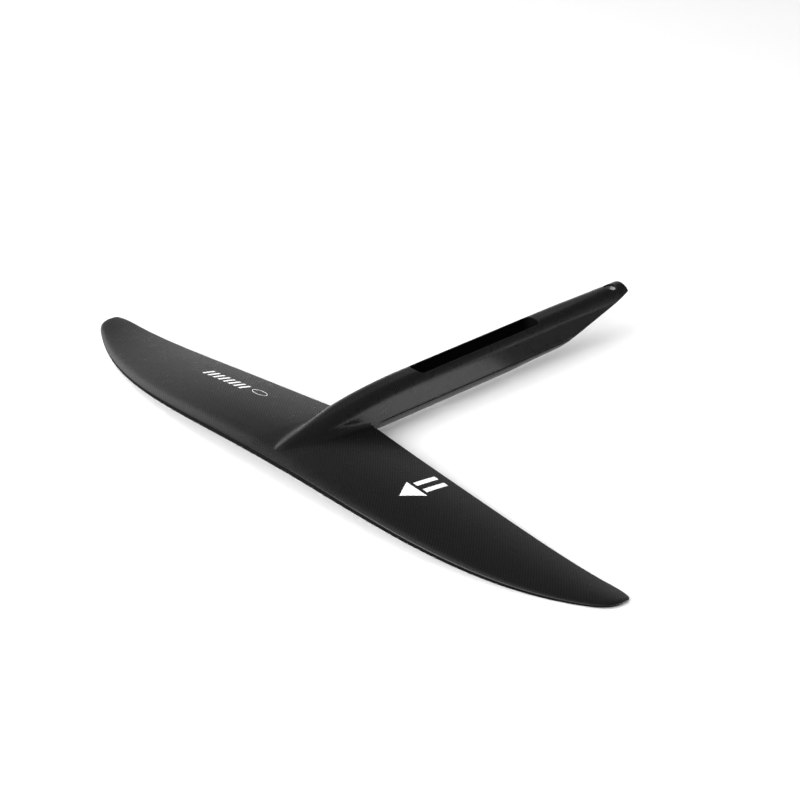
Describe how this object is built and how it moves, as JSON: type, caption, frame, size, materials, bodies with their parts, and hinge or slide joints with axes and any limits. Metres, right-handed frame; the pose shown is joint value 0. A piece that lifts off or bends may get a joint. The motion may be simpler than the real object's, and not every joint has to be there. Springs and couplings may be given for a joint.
{
  "type": "hydrofoil front wing",
  "caption": "Carbon hydrofoil front wing with moulded-on fuselage, an open mast pocket on top and a slanted tail seat with one screw hole.",
  "frame": {"origin": "middle of the mast seat, the floor of the mast pocket", "axes": "+Z out of the mast pocket, +X along the span to the right tip, -Y towards the wing's leading edge"},
  "size_m": [0.692, 0.466, 0.0528],
  "materials": {
    "carbon_skin": "satin black woven carbon in epoxy",
    "carbon_skin_lower": "satin black woven carbon in epoxy",
    "pocket_laminate": "matte black moulded laminate",
    "seat_plate": "matte black laminate plate",
    "tail_laminate": "matte black moulded laminate",
    "steel_bush": "turned stainless steel",
    "foam_core": "closed-cell foam",
    "edge_resin": "filled resin",
    "spar_laminate": "unidirectional carbon laminate"
  },
  "bodies": {
    "root": {"upper_shell": "carbon_skin", "lower_shell": "carbon_skin_lower", "mast_box": "pocket_laminate", "mast_plate": "seat_plate", "tail_block": "tail_laminate", "mast_screw_bush_front": "steel_bush", "mast_screw_bush_rear": "steel_bush", "tail_screw_bush": "steel_bush", "ridge_core": "foam_core", "neck_core": "foam_core", "front_core_left": "foam_core", "front_core_right": "foam_core", "rear_core_left": "foam_core", "rear_core_right": "foam_core", "leading_edge_strip_left": "edge_resin", "leading_edge_strip_right": "edge_resin", "trailing_edge_strip_left": "edge_resin", "trailing_edge_strip_right": "edge_resin", "spar_cap_upper": "spar_laminate", "spar_cap_lower": "spar_laminate", "spar_web": "spar_laminate"}
  },
  "joints": []
}
